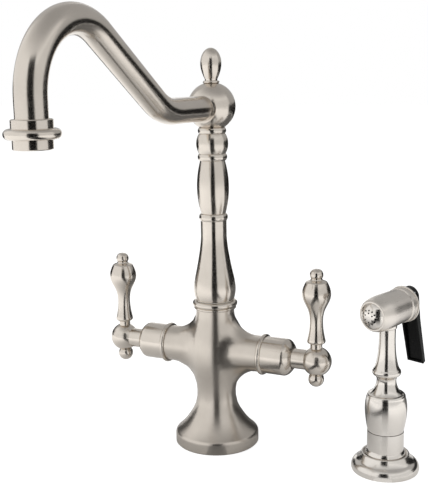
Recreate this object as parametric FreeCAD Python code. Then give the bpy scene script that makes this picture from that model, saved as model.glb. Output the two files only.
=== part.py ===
import FreeCAD, Part
import math
import os

# A deck-mounted kitchen faucet: two lever handles on a cross-shaped valve body, a turned post with
# a swan-neck spout that swivels on the body, and a pull-up side sprayer in its own holder.
# Millimetres. The origin is on the deck, under the middle of the valve body. +Z is up, +X runs
# along the arms towards the right-hand lever, and the spout reaches out towards -Y.

Vector = FreeCAD.Vector
ORIGIN = Vector(0, 0, 0)
UP = Vector(0, 0, 1)

# ---------------------------------------------------------------- driving dimensions
# Fits
running_clearance = 0.06        # radial, between a shaft and the bore it turns or slides in
seat_clearance = 0.05           # radial, between pieces that are fixed together
body_gap = 0.3                  # between pieces that only pass each other
bore_relief = 0.4               # radial, round a shaft that passes through without touching

# Valve body
base_radius = 35.5
base_rim_height = 8.0
base_lip_radius = 33.6
base_lip_height = 11.5
waist_radius = 16.5
waist_height = 42.0
swell_radius = 22.0
valve_height = 82.0             # deck to the axis of both valves
neck_radius = 15.9
neck_rise = 35.5                # valve axis to the top of the body
arm_radius = 15.0
arm_reach = 42.5
arm_top_fillet = 22.0           # rounding between arm and post, above the arm
arm_bottom_fillet = 24.0        # and below it
edge_break = 1.0                # small rounding on outer corners

# Under the base
base_rim_width = 5.0
underside_depth = 6.0
shank_boss_radius = 19.5
gasket_width = 2.6
gasket_thickness = 1.6
shank_radius = 15.0
shank_bore_radius = 12.5
shank_engagement = 12.0
shank_drop = 52.0               # how far the shank hangs below the deck
deck_thickness = 22.0           # the counter that the nuts would clamp
washer_thickness = 1.6
seal_thickness = 2.5
washer_overhang = 9.0
nut_height = 10.0
nut_flats = 46.0

# Waterways in the body
port_radius = 4.5
port_circle_radius = 7.2
port_depth = 26.0
passage_radius = 2.2
mixing_radius = 7.5
mixing_drop = 9.0               # valve axis to the floor of the mixing chamber
socket_rise = 6.0               # valve axis to the floor of the spout socket
outlet_passage_radius = 4.0

# Spout swivel
spigot_radius = 10.5
spigot_bore_radius = 7.5
retainer_reach = 2.7            # how far the split ring stands out of the spigot
retainer_bite = 1.2             # how far it sits into the spigot
retainer_thickness = 1.8
retainer_pocket_depth = 5.5
collar_thread_radius = 13.5
collar_thread_length = 2.8
collar_height = 7.1
collar_lip_radius = 17.7
collar_radius = 18.7
swivel_washer_thickness = 0.6
swivel_washer_radius = 15.4
swivel_gap = 0.1
o_ring_wire = 1.5               # diameter of the rubber
o_ring_drops = (21.0, 28.0)     # below the column's foot
diverter_flange_height = 2.0
diverter_stem_length = 10.0
diverter_bore_radius = 3.0

# Turned column, from the swivel up
bell_foot_radius = 16.0
bell_radius = 17.5
bell_neck_radius = 10.75
bell_height = 66.7
lower_bead_radius = 11.9
lower_bead_height = 5.6
barrel_end_radius = 10.1
barrel_radius = 13.2
barrel_height = 44.0
upper_bead_radius = 12.1
upper_bead_height = 5.4
bulb_end_radius = 10.9
bulb_radius = 13.1
bulb_height = 16.2
top_band_radius = 11.6
top_band_height = 5.0
bead_root_depth = 1.0           # bead crest to the groove beside it

# Spout hub and finial
spout_hub_radius = 19.5
spout_hub_seat = 16.6           # hub centre down to its flat seat on the column
spout_hub_crown = 18.6          # hub centre up to the finial's seat
column_tenon_radius = 9.0
column_tenon_height = 6.0
finial_stud_radius = 3.0
finial_stud_length = 8.0
finial_collar_radius = 6.7
finial_collar_height = 2.1
finial_neck_radius = 5.1
finial_radius = 8.5
finial_height = 28.0

# Swan-neck tube
tube_radius = 9.95
tube_wall = 1.6
spout_axis_drop = 1.0           # hub centre down to the tube's axis
spout_reach = 233.3             # post axis to outlet axis
tube_start = 9.0                # post axis to the inner end of the tube
first_run = 64.6                # post axis to the start of the rise
rise_radius = 51.2
rise_angle = 33.4
crown_radius = 46.55
drop_run = 16.0
spout_boss_radius = 11.6
spout_boss_stand = 0.6

# Outlet
outlet_socket_depth = 4.0
outlet_collar_radius = 12.5
outlet_collar_height = 5.4
outlet_ring_radius = 17.0
outlet_ring_thickness = 6.3
aerator_thread_radius = 10.95
aerator_thread_length = 4.8
aerator_skirt_radius = 12.0
aerator_skirt_height = 5.9
aerator_bore_radius = 9.6
aerator_lip_height = 1.0
aerator_lip_width = 0.7
aerator_washer_thickness = 1.2
aerator_mesh_hole_radius = 0.75
aerator_mesh_pitch = 2.6
aerator_mesh_rings = 3
aerator_insert_height = 8.5
aerator_floor = 1.5

# Valves and bonnets, measured out along each arm
cartridge_bore_radius = 11.0
cartridge_seat_reach = 20.5
seal_ring_radius = 8.0
seal_ring_bore = 4.4
seal_ring_length = 2.0
disc_radius = 8.4
disc_thickness = 3.0
disc_port_radius = 2.0
disc_port_offset = 5.2
disc_film = 0.03                # the polished discs run almost touching
disc_chamber_gap = 0.12
spindle_radius = 4.0
spindle_foot_radius = 6.0
spindle_foot_length = 2.5
cartridge_flange_radius = 12.4
cartridge_length = 39.5
bonnet_thread_radius = 12.0
arm_ring_radius = 17.0
arm_ring_length = 4.0
bonnet_radius = 15.2
bonnet_length = 24.1
bonnet_dome_length = 7.0        # the domed end of the bonnet, along the arm
bonnet_mouth_radius = 9.0
bonnet_end_wall = 4.0

# Levers
lever_reach = 90.0              # post axis to each lever's axis
hub_radius = 11.95
hub_offset = 0.5                # ball centre beyond the lever's axis
hub_flat = 10.9                # valve axis to each flat on the ball
hub_neck_radius = 8.1
hub_neck_overlap = 2.6          # how far the neck reaches into the bonnet
spindle_engagement = 18.0
lever_stud_radius = 3.0
lever_stud_length = 7.0
lever_foot_radius = 4.8
lever_foot_height = 3.95
lever_skirt_radius = 7.5
lever_skirt_rise = 6.2
lever_stem_radius = 5.35
lever_stem_rise = 13.9
lever_bulb_radius = 11.6
lever_bulb_rise = 25.0
lever_shoulder_radius = 9.0
lever_shoulder_rise = 8.6
lever_tip_neck_radius = 4.4
lever_tip_neck_rise = 3.7
lever_tip_radius = 5.4
lever_tip_rise = 7.3
knob_radius = 6.4
knob_centre_drop = 14.9         # valve axis to the small ball's centre
knob_stud_radius = 2.5

# Side sprayer
sprayer_x = 147.2
sprayer_y = 2.0
sprayer_turn = 20.5             # how far the head is turned from straight ahead, in degrees
flange_radius = 26.6
flange_height = 14.2
flange_crest_radius = 17.8
flange_dish_radius = 16.8
flange_dish_height = 12.4
flange_step_radius = 22.7
flange_step_height = 8.4
flange_gasket_thickness = 1.2
flange_gasket_width = 2.0
guide_radius = 14.35
guide_foot_radius = 16.2
guide_foot_height = 4.8
guide_height = 32.2
guide_bore_radius = 10.0
guide_shank_radius = 12.0
guide_shank_drop = 45.0
guide_nut_flats = 36.0
grip_foot_radius = 14.35
grip_radius = 16.45
grip_height = 30.5
grip_lip_radius = 15.2
grip_shoulder_radius = 13.8
grip_tail_length = 24.0
grip_tail_gap = 0.3
coupling_pin_radius = 5.0
coupling_pin_length = 18.0
coupling_nut_flats = 15.0
coupling_nut_height = 19.0
coupling_bore_radius = 2.8
hose_thread_radius = 4.6
hose_thread_depth = 9.0
neck_foot_radius = 12.4
neck_root_radius = 7.6
neck_ring_radius = 11.2
neck_ring_height = 80.6         # above the deck
neck_waist_radius = 9.4
neck_stem_radius = 6.55
neck_flare = 0.8                # how much the neck widens where it meets the head
neck_tenon_radius = 6.5
neck_tenon_length = 6.0
head_height = 129.6             # deck to the middle of the head
head_tilt = 3.0                 # how far the head's axis dips towards its front, in degrees
head_front = 20.0               # sprayer axis to the front rim
head_rear = 14.5                # sprayer axis to the rear ring
head_widest_reach = 11.0        # sprayer axis forward to the head's widest place
head_front_radius = 11.5
head_radius = 13.8
head_rear_radius = 13.1
head_bore_radius = 10.4
head_tenon_radius = 5.0
rear_wall = 1.8
rear_ring_length = 7.4
rear_ring_radius = 13.8
rear_bead_radius = 14.5
rear_bead_length = 1.6
face_seat_depth = 1.6
face_radius = 10.4
face_lip = 0.8
face_plate_thickness = 1.4
face_crown = 4.7
face_hole_radius = 0.65
face_rings = ((3.6, 6, 30), (5.65, 12, 0))  # (ring radius, number of holes, angle of the first)
valve_body_radius = 9.6
valve_body_length = 20.0
valve_chamber_radius = 5.6
valve_feed_radius = 1.4
valve_seat_bore = 3.8
valve_floor = 3.0
valve_rest_gap = 0.1
plunger_radius = 2.5
plunger_disc_radius = 5.2
plunger_disc_length = 2.0
trigger_width = 15.2
trigger_wall = 1.6
trigger_top = 12.7              # head axis up to the top of the trigger
trigger_pin_radius = 1.2
trigger_pin_back = 26.3         # sprayer axis back to the pin
trigger_pin_rise = 8.4          # head axis up to the pin
trigger_pin_inset = 1.0         # from the trigger's side in to the end of the pin
lug_width = 3.6
lug_radius = 2.2
# Trigger seen from the side, along the tilted head: (distance behind the sprayer's axis, height above
# the head's axis)
trigger_back_edge = ((30.1, 14.8), (32.35, -13.3), (39.0, -51.1))
trigger_front_edge = ((36.3, -52.6), (28.25, -15.1), (24.9, -0.9), (24.1, 15.2))


# ---------------------------------------------------------------- shape helpers
def at(station):
    """A point of an outline: (radius, height) in the XZ plane."""
    return Vector(station[0], 0, station[1])


def outline_face(start, steps):
    """A closed face in the XZ plane.

    A step is the (radius, height) that a straight side runs to, ("arc", middle, end), or
    ("curve", point, ..., end) for one smooth line through all its points.
    """
    edges = []
    here = at(start)
    for step in steps:
        if step[0] == "arc":
            edges.append(Part.Arc(here, at(step[1]), at(step[2])).toShape())
            here = at(step[2])
        elif step[0] == "curve":
            curve = Part.BSplineCurve()
            curve.interpolate([here] + [at(station) for station in step[1:]])
            edges.append(curve.toShape())
            here = at(step[-1])
        else:
            edges.append(Part.LineSegment(here, at(step)).toShape())
            here = at(step)
    edges.append(Part.LineSegment(here, at(start)).toShape())
    return Part.Face(Part.Wire(edges))


def turned(start, *steps):
    """A piece turned on a lathe about the Z axis."""
    return outline_face(start, steps).revolve(ORIGIN, UP, 360)


def rod(radius, low, high, x=0, y=0):
    return Part.makeCylinder(radius, high - low, Vector(x, y, low))


def tube(outer, inner, low, high):
    return rod(outer, low, high).cut(rod(inner, low, high))


def drilled(solid, *drills):
    """The solid with each drill taken out of it."""
    return solid.cut(list(drills))


def flow(first, last, stations):
    """Points of a curve between two (radius, height) ends.

    Each station is (share of the height, share of the change in radius).
    """
    rise = last[1] - first[1]
    growth = last[0] - first[0]
    return [(first[0] + growth * swell, first[1] + rise * share) for share, swell in stations]


def bead(crest, low, high):
    """The side of a turned ring, from the groove below it to the groove above it."""
    root = crest - bead_root_depth
    return ("arc", (crest, (low + high) / 2), (root, high))


def hexagon(flats, low, high):
    corner = flats / 2 / math.cos(math.pi / 6)
    points = []
    for index in range(7):
        angle = math.radians(60 * index + 30)
        points.append(Vector(corner * math.cos(angle), corner * math.sin(angle), low))
    return Part.Face(Part.makePolygon(points)).extrude(Vector(0, 0, high - low))


def hex_nut(flats, hole, low, high):
    """A hexagonal nut whose corners are turned down at both ends."""
    corner = flats / 2 / math.cos(math.pi / 6)
    chamfer = corner - flats / 2
    round_blank = turned((0, low), (flats / 2, low), (corner, low + chamfer), (corner, high - chamfer),
                         (flats / 2, high), (0, high))
    return hexagon(flats, low, high).common(round_blank).cut(rod(hole, low, high))


def along_arm(shape, side):
    """Lays a piece made about Z along the right (+1) or left (-1) arm, at the valves' height."""
    laid = shape.copy()
    laid.rotate(ORIGIN, Vector(0, 1, 0), 90 * side)
    laid.translate(Vector(0, 0, valve_height))
    return laid


def on_lever_axis(shape, side):
    """Moves a piece made about Z at valve height onto the right (+1) or left (-1) lever."""
    placed = shape.copy()
    placed.translate(Vector(side * lever_reach, 0, valve_height))
    return placed


def in_holder(shape):
    """Turns a piece of the sprayer to its resting angle and stands it in its place on the deck."""
    placed = shape.copy()
    placed.rotate(ORIGIN, UP, -sprayer_turn)
    placed.translate(Vector(sprayer_x, sprayer_y, 0))
    return placed


def in_head(shape):
    """Lays a piece made about Z along the sprayer head: its +Z end faces the user."""
    return in_holder(tilted_head(shape))


def tilted_head(shape):
    laid = shape.copy()
    laid.rotate(ORIGIN, Vector(1, 0, 0), 90 + head_tilt)
    laid.translate(Vector(0, 0, head_height))
    return laid


# ---------------------------------------------------------------- heights worked out from the sizes
body_top = valve_height + neck_rise
collar_top = body_top + collar_height
column_foot = collar_top + swivel_washer_thickness + swivel_gap
bell_top = column_foot + bell_height
barrel_foot = bell_top + lower_bead_height
barrel_top = barrel_foot + barrel_height
bulb_foot = barrel_top + upper_bead_height
bulb_top = bulb_foot + bulb_height
column_top = bulb_top + top_band_height
spout_hub_centre = column_top + spout_hub_seat
finial_foot = spout_hub_centre + spout_hub_crown
spout_axis = spout_hub_centre - spout_axis_drop
socket_floor = valve_height + socket_rise
diverter_top = socket_floor + diverter_flange_height
spigot_foot = diverter_top + body_gap
retainer_floor = body_top - retainer_pocket_depth
retainer_low = retainer_floor + body_gap
retainer_high = retainer_low + retainer_thickness
socket_radius = spigot_radius + running_clearance
shank_top = shank_engagement
port_top = shank_top + port_depth
nut_top = -deck_thickness - seal_thickness - washer_thickness

# ---------------------------------------------------------------- valve body
# Smooth flare from the base's lip in to the waist, out over the valves and in to the neck.
flare_stations = ((0.206, 0.363), (0.449, 0.667), (0.705, 0.906), (1.0, 1.0))
swell_stations = ((0.15, 0.02), (0.325, 0.19), (0.65, 0.78), (1.0, 1.0))
neck_stations = ((0.42, 0.33), (0.70, 0.79), (1.0, 1.0))


def body_casting():
    """A quarter of the cross is rounded in its one inner corner, then mirrored into the whole."""
    quarter = rounded_quarter()
    half = quarter.fuse(quarter.mirror(ORIGIN, Vector(0, 1, 0)))
    cross = half.fuse(half.mirror(ORIGIN, Vector(1, 0, 0))).removeSplitter()
    return drilled(cross, *base_hollows(), *waterways(), *arm_bores(), *spout_socket())


def rounded_quarter():
    """Post and arm are both made too long, so that the rounding runs out past their ends."""
    flare = flow((base_lip_radius, base_lip_height), (waist_radius, waist_height), flare_stations)
    swell = flow((waist_radius, waist_height), (swell_radius, valve_height), swell_stations)
    neck = flow((swell_radius, valve_height), (neck_radius, body_top), neck_stations)
    spare = arm_top_fillet - edge_break
    post = turned((0, 0), (base_radius - edge_break, 0),
                  (base_radius, edge_break),
                  (base_radius, base_rim_height),
                  ("curve", (base_radius - edge_break / 2, base_rim_height + 2 * edge_break),
                   (base_lip_radius, base_lip_height)),
                  ("curve", *flare, *swell, *neck), (neck_radius, body_top + spare), (0, body_top + spare))
    arms = Part.makeCylinder(arm_radius, 2 * (arm_reach + spare),
                             Vector(-arm_reach - spare, 0, valve_height), Vector(1, 0, 0))
    corner_box = Part.makeBox(2 * arm_reach, 2 * base_radius, 2 * body_top, ORIGIN)
    quarter = post.fuse(arms).common(corner_box)
    corner = [edge for edge in quarter.Edges if is_arm_corner(edge)][0]
    if corner.valueAt(corner.FirstParameter).z > corner.valueAt(corner.LastParameter).z:
        quarter = quarter.makeFillet(arm_top_fillet, arm_bottom_fillet, [corner])
    else:
        quarter = quarter.makeFillet(arm_bottom_fillet, arm_top_fillet, [corner])
    return quarter.common(Part.makeBox(arm_reach, 2 * base_radius, body_top, ORIGIN))


def is_arm_corner(edge):
    """True for the edge where the arm meets the upright part of the body."""
    box = edge.BoundBox
    on_post = arm_radius / 2 < box.XMax < swell_radius
    full_width = arm_radius - edge_break < box.YMax < arm_radius + edge_break
    return on_post and full_width and box.ZLength > arm_radius


def base_hollows():
    hollow = tube(base_radius - base_rim_width, shank_boss_radius, 0, underside_depth)
    groove_middle = base_radius - base_rim_width / 2
    groove = tube(groove_middle + gasket_width / 2, groove_middle - gasket_width / 2, 0, gasket_thickness)
    thread = rod(shank_radius + seat_clearance, 0, shank_top)
    return [hollow, groove, thread]


def port_centres():
    """The hot, cold and sprayer ports stand at three corners of a triangle under the body."""
    angles = {"hot": 180 + 30, "cold": -30, "sprayer": 90}
    return {name: (port_circle_radius * math.cos(math.radians(angle)),
                   port_circle_radius * math.sin(math.radians(angle)))
            for name, angle in angles.items()}


def slanted(radius, start, end):
    """A drill between two points."""
    run = end - start
    return Part.makeCylinder(radius, run.Length, start, run)


def waterways():
    ports = port_centres()
    drills = [rod(port_radius, shank_top, port_top, *centre) for centre in ports.values()]
    drills.append(rod(mixing_radius, valve_height - mixing_drop, socket_floor))
    for side, name in ((-1, "hot"), (1, "cold")):
        start = Vector(ports[name][0], ports[name][1], port_top - passage_radius)
        end = Vector(side * (cartridge_seat_reach + passage_radius), 0, valve_height - cartridge_bore_radius)
        drills.append(slanted(passage_radius, start, end))
        seat = Vector(side * cartridge_seat_reach, 0, valve_height)
        drills.append(slanted(outlet_passage_radius, Vector(0, 0, valve_height), seat))
    sprayer_port = ports["sprayer"]
    drills.append(rod(passage_radius, port_top - passage_radius, valve_height, 0,
                      min(sprayer_port[1], mixing_radius)))
    return drills


def arm_bores():
    bore = rod(cartridge_bore_radius + seat_clearance, cartridge_seat_reach, arm_reach)
    return [along_arm(bore, side) for side in (-1, 1)]


def spout_socket():
    pocket_radius = collar_thread_radius + seat_clearance
    return [rod(socket_radius, socket_floor, body_top), rod(pocket_radius, retainer_floor, body_top)]


# ---------------------------------------------------------------- pieces under the body
def base_gasket():
    middle = base_radius - base_rim_width / 2
    half = gasket_width / 2 - seat_clearance
    return tube(middle + half, middle - half, 0, gasket_thickness)


def mounting_shank():
    return tube(shank_radius, shank_bore_radius, -shank_drop, shank_top)


def deck_stack(shank, flats):
    """The rubber seal, steel washer and lock nut that clamp a shank of this radius to the deck."""
    hole = shank + seat_clearance
    seal = tube(shank + washer_overhang, hole, -deck_thickness - seal_thickness, -deck_thickness)
    washer = tube(shank + washer_overhang, hole, nut_top, nut_top + washer_thickness)
    nut = hex_nut(flats, hole, nut_top - nut_height, nut_top)
    return seal, washer, nut


def diverter_valve():
    stem_radius = mixing_radius - seat_clearance
    flange_radius_inside = socket_radius - seat_clearance
    shape = turned((0, socket_floor - diverter_stem_length), (stem_radius, socket_floor - diverter_stem_length),
                   (stem_radius, socket_floor), (flange_radius_inside, socket_floor),
                   (flange_radius_inside, diverter_top), (0, diverter_top))
    windows = slanted(diverter_bore_radius, Vector(-mixing_radius, 0, valve_height),
                      Vector(mixing_radius, 0, valve_height))
    return drilled(shape, rod(diverter_bore_radius, socket_floor - diverter_stem_length, diverter_top), windows)


# ---------------------------------------------------------------- spout swivel and column
def swivel_collar():
    thread_foot = body_top - collar_thread_length
    lip_top = body_top + 1.8
    shape = turned((0, thread_foot), (collar_thread_radius, thread_foot), (collar_thread_radius, body_top),
                   (collar_lip_radius - edge_break / 2, body_top),
                   ("arc", (collar_lip_radius, body_top + 0.9), (collar_lip_radius - edge_break / 2, lip_top)),
                   ("arc", (collar_radius, lip_top + 2.0),
                    (collar_lip_radius - edge_break, collar_top)),
                   (0, collar_top))
    return shape.cut(rod(socket_radius, thread_foot, collar_top))


def swivel_washer():
    return tube(swivel_washer_radius, socket_radius, collar_top, collar_top + swivel_washer_thickness)


def spout_column():
    flare = flow((bell_neck_radius, column_foot), (bell_radius, bell_top),
                 ((0.16, 1.0), (0.36, 0.66), (0.57, 0.26), (0.80, 0.0)))
    root_low = lower_bead_radius - bead_root_depth
    root_high = upper_bead_radius - bead_root_depth
    root_top = top_band_radius - bead_root_depth
    shape = turned((0, spigot_foot), (spigot_radius, spigot_foot), (spigot_radius, column_foot),
                   (bell_foot_radius, column_foot),
                   ("curve", *flare),
                   (bell_neck_radius, bell_top),
                   (root_low, bell_top), bead(lower_bead_radius, bell_top, barrel_foot),
                   (barrel_end_radius, barrel_foot),
                   ("arc", (barrel_radius, (barrel_foot + barrel_top) / 2), (barrel_end_radius, barrel_top)),
                   (root_high, barrel_top), bead(upper_bead_radius, barrel_top, bulb_foot),
                   (bulb_end_radius, bulb_foot),
                   ("arc", (bulb_radius, (bulb_foot + bulb_top) / 2), (bulb_end_radius, bulb_top)),
                   (root_top, bulb_top), bead(top_band_radius, bulb_top, column_top),
                   (column_tenon_radius, column_top), (column_tenon_radius, column_top + column_tenon_height),
                   (0, column_top + column_tenon_height))
    retainer_groove = tube(spigot_radius + 1, spigot_radius - retainer_bite, retainer_low, retainer_high)
    o_ring_grooves = [tube(spigot_radius + 1, spigot_radius - o_ring_wire - seat_clearance,
                           column_foot - drop - o_ring_wire / 2 - seat_clearance,
                           column_foot - drop + o_ring_wire / 2 + seat_clearance)
                      for drop in o_ring_drops]
    waterway = rod(spigot_bore_radius, spigot_foot, column_top + column_tenon_height)
    return drilled(shape, retainer_groove, waterway, *o_ring_grooves)


def retaining_ring():
    """A split ring that snaps round the spigot under the collar."""
    ring = tube(spigot_radius + retainer_reach, spigot_radius - retainer_bite + seat_clearance,
                retainer_low + seat_clearance, retainer_high - seat_clearance)
    split = Part.makeBox(2 * spigot_radius, 3, 2 * retainer_thickness, Vector(0, -1.5, retainer_low - 1))
    return ring.cut(split)


def column_o_rings():
    ring_middle = spigot_radius - o_ring_wire / 2
    return Part.makeCompound([Part.makeTorus(ring_middle, o_ring_wire / 2, Vector(0, 0, column_foot - drop))
                              for drop in o_ring_drops])


# ---------------------------------------------------------------- spout
def spout_hub():
    ball = Part.makeSphere(spout_hub_radius, Vector(0, 0, spout_hub_centre))
    boss_end = -math.sqrt(spout_hub_radius ** 2 - spout_boss_radius ** 2) - spout_boss_stand
    boss = slanted(spout_boss_radius, Vector(0, 0, spout_axis), Vector(0, boss_end, spout_axis))
    hub = ball.fuse(boss)
    keep = rod(2 * spout_hub_radius, column_top, finial_foot)
    tenon_hole = rod(column_tenon_radius + seat_clearance, column_top, column_top + column_tenon_height)
    chamber = rod(spigot_bore_radius, column_top, spout_axis)
    tube_hole = slanted(tube_radius + seat_clearance, Vector(0, -tube_start, spout_axis),
                        Vector(0, -spout_hub_radius - 1, spout_axis))
    feed = slanted(spigot_bore_radius, Vector(0, spigot_bore_radius, spout_axis),
                   Vector(0, -tube_start, spout_axis))
    stud_hole = rod(finial_stud_radius + seat_clearance, finial_foot - finial_stud_length - 1, finial_foot)
    return drilled(hub.common(keep), tenon_hole, chamber, tube_hole, feed, stud_hole)


def finial():
    neck = finial_foot + finial_collar_height
    top = finial_foot + finial_height
    collar_side = finial_collar_radius - finial_collar_height / 2
    acorn = flow((finial_neck_radius, neck + 1.2), (finial_radius, top),
                 ((0.24, 0.70), (0.49, 1.0), (0.72, 0.74), (0.92, -0.15)))
    return turned((0, finial_foot - finial_stud_length), (finial_stud_radius, finial_foot - finial_stud_length),
                  (finial_stud_radius, finial_foot), (collar_side, finial_foot),
                  ("arc", (finial_collar_radius, (finial_foot + neck) / 2), (collar_side, neck)),
                  (finial_neck_radius, neck), (finial_neck_radius, neck + 1.2),
                  ("curve", *acorn, (0, top)))


def spout_path():
    """Centre line of the tube: level, a gentle rise, a tall crown, and straight down."""
    angle = math.radians(rise_angle)
    rise_run = (spout_reach - first_run - rise_radius * math.sin(angle)
                - crown_radius * (1 + math.sin(angle))) / math.cos(angle)

    def place(reach, height):
        return Vector(0, -reach, height)

    def on_arc(centre, radius, turn):
        return place(centre[0] + radius * math.sin(turn), centre[1] + radius * math.cos(turn))

    rise_centre = (first_run, spout_axis + rise_radius)
    rise_start = place(first_run, spout_axis)
    rise_middle = on_arc(rise_centre, -rise_radius, -angle / 2)
    rise_end = on_arc(rise_centre, -rise_radius, -angle)
    crown_start = rise_end + place(rise_run * math.cos(angle), rise_run * math.sin(angle))
    crown_centre = (-crown_start.y + crown_radius * math.sin(angle),
                    crown_start.z - crown_radius * math.cos(angle))
    crown_middle = on_arc(crown_centre, crown_radius, (math.pi / 2 - angle) / 2)
    crown_end = on_arc(crown_centre, crown_radius, math.pi / 2)
    return Part.Wire([Part.LineSegment(place(tube_start, spout_axis), rise_start).toShape(),
                      Part.Arc(rise_start, rise_middle, rise_end).toShape(),
                      Part.LineSegment(rise_end, crown_start).toShape(),
                      Part.Arc(crown_start, crown_middle, crown_end).toShape(),
                      Part.LineSegment(crown_end, crown_end - Vector(0, 0, drop_run)).toShape()])


def swept(radius, path):
    start = path.Vertexes[0].Point
    ring = Part.Wire(Part.makeCircle(radius, start, Vector(0, 1, 0)))
    return path.makePipeShell([ring], True, False)


def spout_tube(path):
    outside = Part.Solid(swept(tube_radius, path))
    inside = Part.Solid(swept(tube_radius - tube_wall, path))
    return outside.cut(inside)


# ---------------------------------------------------------------- outlet
def at_outlet(shape, height):
    placed = shape.copy()
    placed.translate(Vector(0, -spout_reach, height))
    return placed


def outlet_collar():
    """Collar and ring, made with its foot at height 0."""
    ring_round = outlet_ring_thickness / 2
    ring_neck = outlet_ring_radius - ring_round
    ring_top = outlet_ring_thickness
    top = ring_top + outlet_collar_height
    shape = turned((0, 0), (ring_neck, 0),
                   ("arc", (outlet_ring_radius, ring_round), (ring_neck, ring_top)),
                   (outlet_collar_radius, ring_top), (outlet_collar_radius, top - edge_break / 2),
                   (outlet_collar_radius - edge_break / 2, top), (0, top))
    thread_depth = aerator_thread_length + aerator_washer_thickness
    return drilled(shape, rod(aerator_thread_radius + seat_clearance, 0, thread_depth),
                   rod(tube_radius - tube_wall, 0, top),
                   rod(tube_radius + seat_clearance, top - outlet_socket_depth, top))


def aerator_shell():
    """Threaded aerator housing, made with the collar's foot at height 0."""
    skirt_foot = -aerator_skirt_height
    shape = turned((0, skirt_foot), (aerator_skirt_radius - edge_break / 2, skirt_foot),
                   (aerator_skirt_radius, skirt_foot + edge_break / 2), (aerator_skirt_radius, 0),
                   (aerator_thread_radius, 0), (aerator_thread_radius, aerator_thread_length),
                   (0, aerator_thread_length))
    lip_top = skirt_foot + aerator_lip_height
    return drilled(shape, rod(aerator_bore_radius, lip_top, aerator_thread_length),
                   rod(aerator_bore_radius - aerator_lip_width, skirt_foot, lip_top))


def aerator_insert():
    """Plastic cup with a floor of small holes."""
    floor = -aerator_skirt_height + aerator_lip_height
    radius = aerator_bore_radius - seat_clearance
    top = floor + aerator_insert_height
    cup = rod(radius, floor, top).cut(rod(radius - 1.2, floor + aerator_floor, top))
    holes = [rod(aerator_mesh_hole_radius, floor, floor + aerator_floor)]
    for ring in range(1, aerator_mesh_rings + 1):
        for index in range(6 * ring):
            angle = 2 * math.pi * index / (6 * ring)
            distance = ring * aerator_mesh_pitch
            holes.append(rod(aerator_mesh_hole_radius, floor, floor + aerator_floor,
                             distance * math.cos(angle), distance * math.sin(angle)))
    return drilled(cup, *holes)


def aerator_washer():
    low = aerator_thread_length
    return tube(aerator_thread_radius - seat_clearance, tube_radius - tube_wall,
                low, low + aerator_washer_thickness)


# ---------------------------------------------------------------- valves, made about Z, then laid along an arm
cartridge_foot = cartridge_seat_reach + seal_ring_length
fixed_disc_top = cartridge_foot + disc_thickness
moving_disc_foot = fixed_disc_top + disc_film
moving_disc_top = moving_disc_foot + disc_thickness
spindle_foot_top = moving_disc_top + spindle_foot_length
chamber_top = spindle_foot_top + disc_chamber_gap
cartridge_end = cartridge_foot + cartridge_length
bonnet_foot = arm_reach + arm_ring_length
bonnet_end = bonnet_foot + bonnet_length
hub_neck_end = bonnet_end - hub_neck_overlap
spindle_end = hub_neck_end + spindle_engagement


def seat_seal():
    return tube(seal_ring_radius, seal_ring_bore, cartridge_seat_reach, cartridge_foot)


def ceramic_disc(low, high):
    """A polished disc with two ports."""
    ports = [rod(disc_port_radius, low, high, 0, way * disc_port_offset) for way in (-1, 1)]
    return drilled(rod(disc_radius, low, high), *ports)


def spindle():
    return turned((0, moving_disc_top), (spindle_foot_radius, moving_disc_top),
                  (spindle_foot_radius, spindle_foot_top), (spindle_radius, spindle_foot_top),
                  (spindle_radius, spindle_end), (0, spindle_end))


def cartridge_housing():
    flange_low = arm_reach
    flange_high = arm_reach + arm_ring_length / 2
    shape = turned((0, cartridge_foot), (cartridge_bore_radius, cartridge_foot),
                   (cartridge_bore_radius, flange_low), (cartridge_flange_radius, flange_low),
                   (cartridge_flange_radius, flange_high), (bonnet_thread_radius, flange_high),
                   (bonnet_thread_radius, cartridge_end - bonnet_end_wall),
                   (spindle_radius + 3, cartridge_end - bonnet_end_wall),
                   (spindle_radius + 3, cartridge_end), (0, cartridge_end))
    return drilled(shape, rod(disc_radius + disc_chamber_gap, cartridge_foot, chamber_top),
                   rod(spindle_radius + running_clearance, chamber_top, cartridge_end))


def arm_ring():
    hole = cartridge_flange_radius + seat_clearance
    half = arm_ring_length / 2
    crest = arm_ring_radius
    shape = turned((0, arm_reach), (crest - half, arm_reach),
                   ("arc", (crest, arm_reach + half), (crest - half, bonnet_foot)), (0, bonnet_foot))
    return shape.cut(rod(hole, arm_reach, bonnet_foot))


dome_stations = ((0.343, 0.113), (0.657, 0.419), (0.871, 0.742), (1.0, 1.0))


def bonnet():
    dome_foot = bonnet_end - bonnet_dome_length
    dome = flow((bonnet_radius, dome_foot), (bonnet_mouth_radius, bonnet_end), dome_stations)
    shape = turned((0, bonnet_foot), (bonnet_radius, bonnet_foot), (bonnet_radius, dome_foot),
                   ("curve", *dome), (0, bonnet_end))
    return drilled(shape, rod(bonnet_thread_radius + seat_clearance, bonnet_foot, bonnet_end - bonnet_end_wall),
                   rod(hub_neck_radius + bore_relief, bonnet_end - bonnet_end_wall, bonnet_end))


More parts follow.
